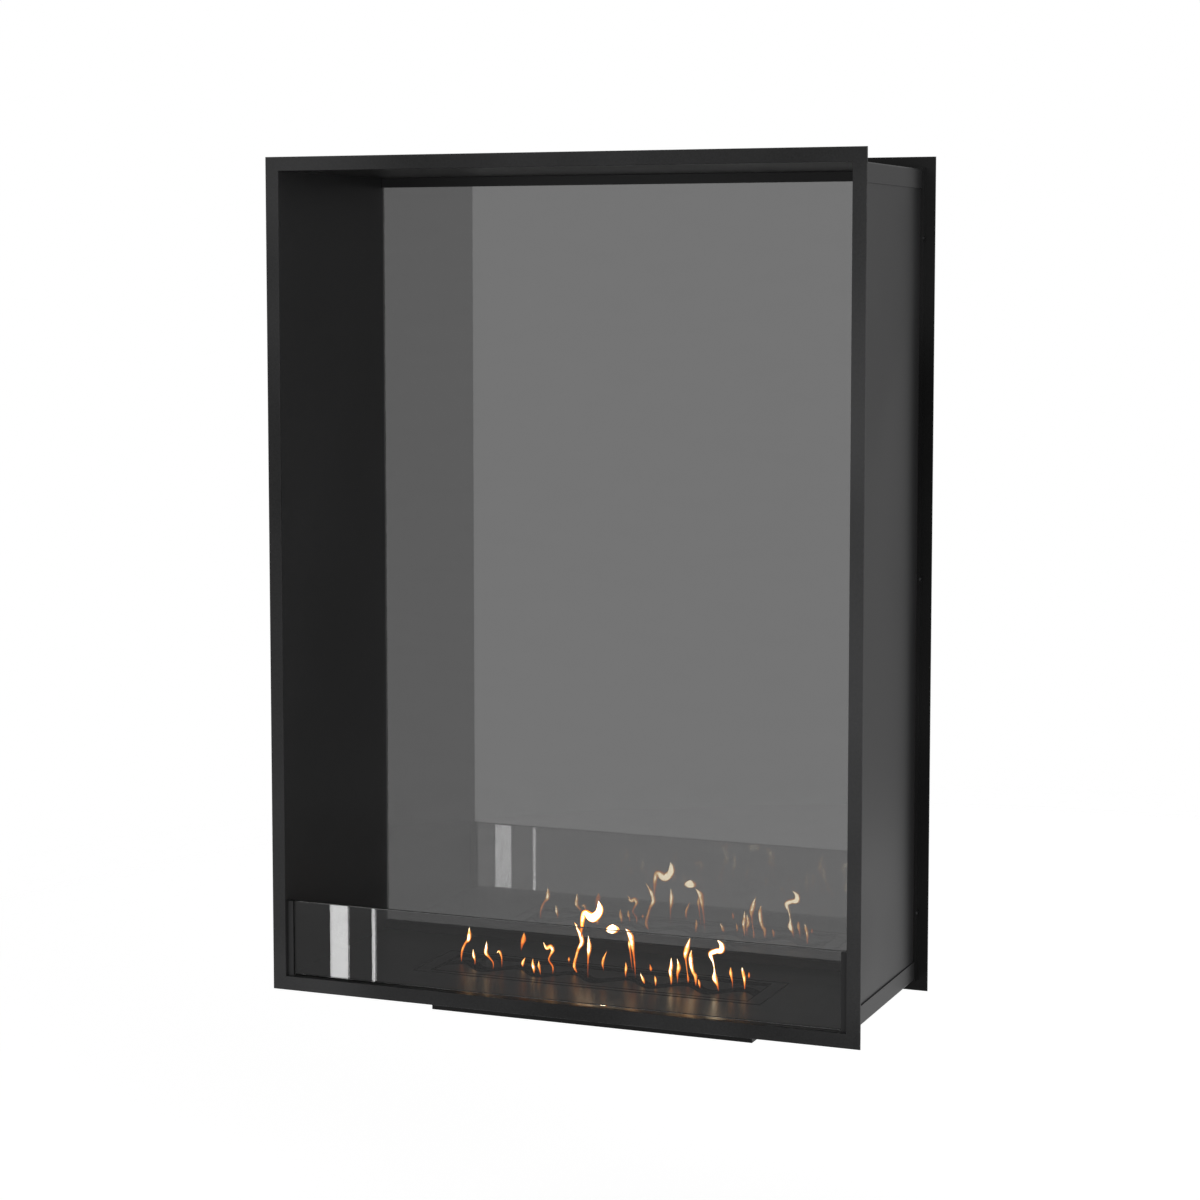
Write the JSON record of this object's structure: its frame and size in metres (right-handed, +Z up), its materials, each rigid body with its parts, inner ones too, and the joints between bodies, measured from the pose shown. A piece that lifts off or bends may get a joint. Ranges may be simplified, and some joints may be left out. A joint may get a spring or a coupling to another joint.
{
  "type": "double-sided fireplace",
  "caption": "Tall built-in see-through ethanol fireplace: black steel box with flange frames, smoked rear pane, low front glass screen and a drop-in burner with a wavy flame gap.",
  "frame": {"origin": "on the front wall face, which is the back of the front flange, at the middle of the wall opening's bottom edge", "axes": "+X across the opening to the right as seen from the front room, +Y from the front room to the rear room, +Z up"},
  "size_m": [0.65, 0.25, 0.911],
  "materials": {
    "black_coat": "satin",
    "burner_black": "matte",
    "smoked_pane": "polished",
    "smoked_screen": "polished",
    "black_fasteners": "satin",
    "black_seal": "matte",
    "ceramic_fibre": "matte",
    "stainless": "satin"
  },
  "bodies": {
    "casing": {"base_pan": "black_coat", "side_panel_left": "black_coat", "side_panel_right": "black_coat", "top_cover": "black_coat", "front_flange": "black_coat", "rear_flange": "black_coat", "rear_flange_screws": "black_fasteners", "burner_seat_frame": "black_coat", "rear_rail_bottom": "black_coat", "rear_rail_top": "black_coat", "rear_seal_bottom": "black_seal", "rear_seal_top": "black_seal", "rear_glass": "smoked_pane", "rear_rail_rivets": "black_fasteners", "screen_holder_left": "black_coat", "screen_holder_right": "black_coat", "screen_holder_rivets": "black_fasteners", "screen_rests": "black_seal"},
    "screen": {"screen_glass": "smoked_screen"},
    "burner": {"fuel_tank": "burner_black", "burner_collar": "burner_black", "collar_spacer_left": "burner_black", "collar_spacer_right": "burner_black", "front_flame_plate": "burner_black", "fibre_block": "ceramic_fibre", "fibre_cover": "stainless"},
    "snuffer": {"snuffer_plate": "burner_black"}
  },
  "joints": [
    {"name": "screen_lift", "type": "slide", "parent": "casing", "child": "screen", "axis": [0, 0, 1], "range_m": [0, 0.09]},
    {"name": "burner_lift", "type": "slide", "parent": "casing", "child": "burner", "axis": [0, 0, 1], "range_m": [0, 0.135]},
    {"name": "snuffer_slide", "type": "slide", "parent": "burner", "child": "snuffer", "axis": [0, -1, 0], "range_m": [0, 0.0076]}
  ]
}
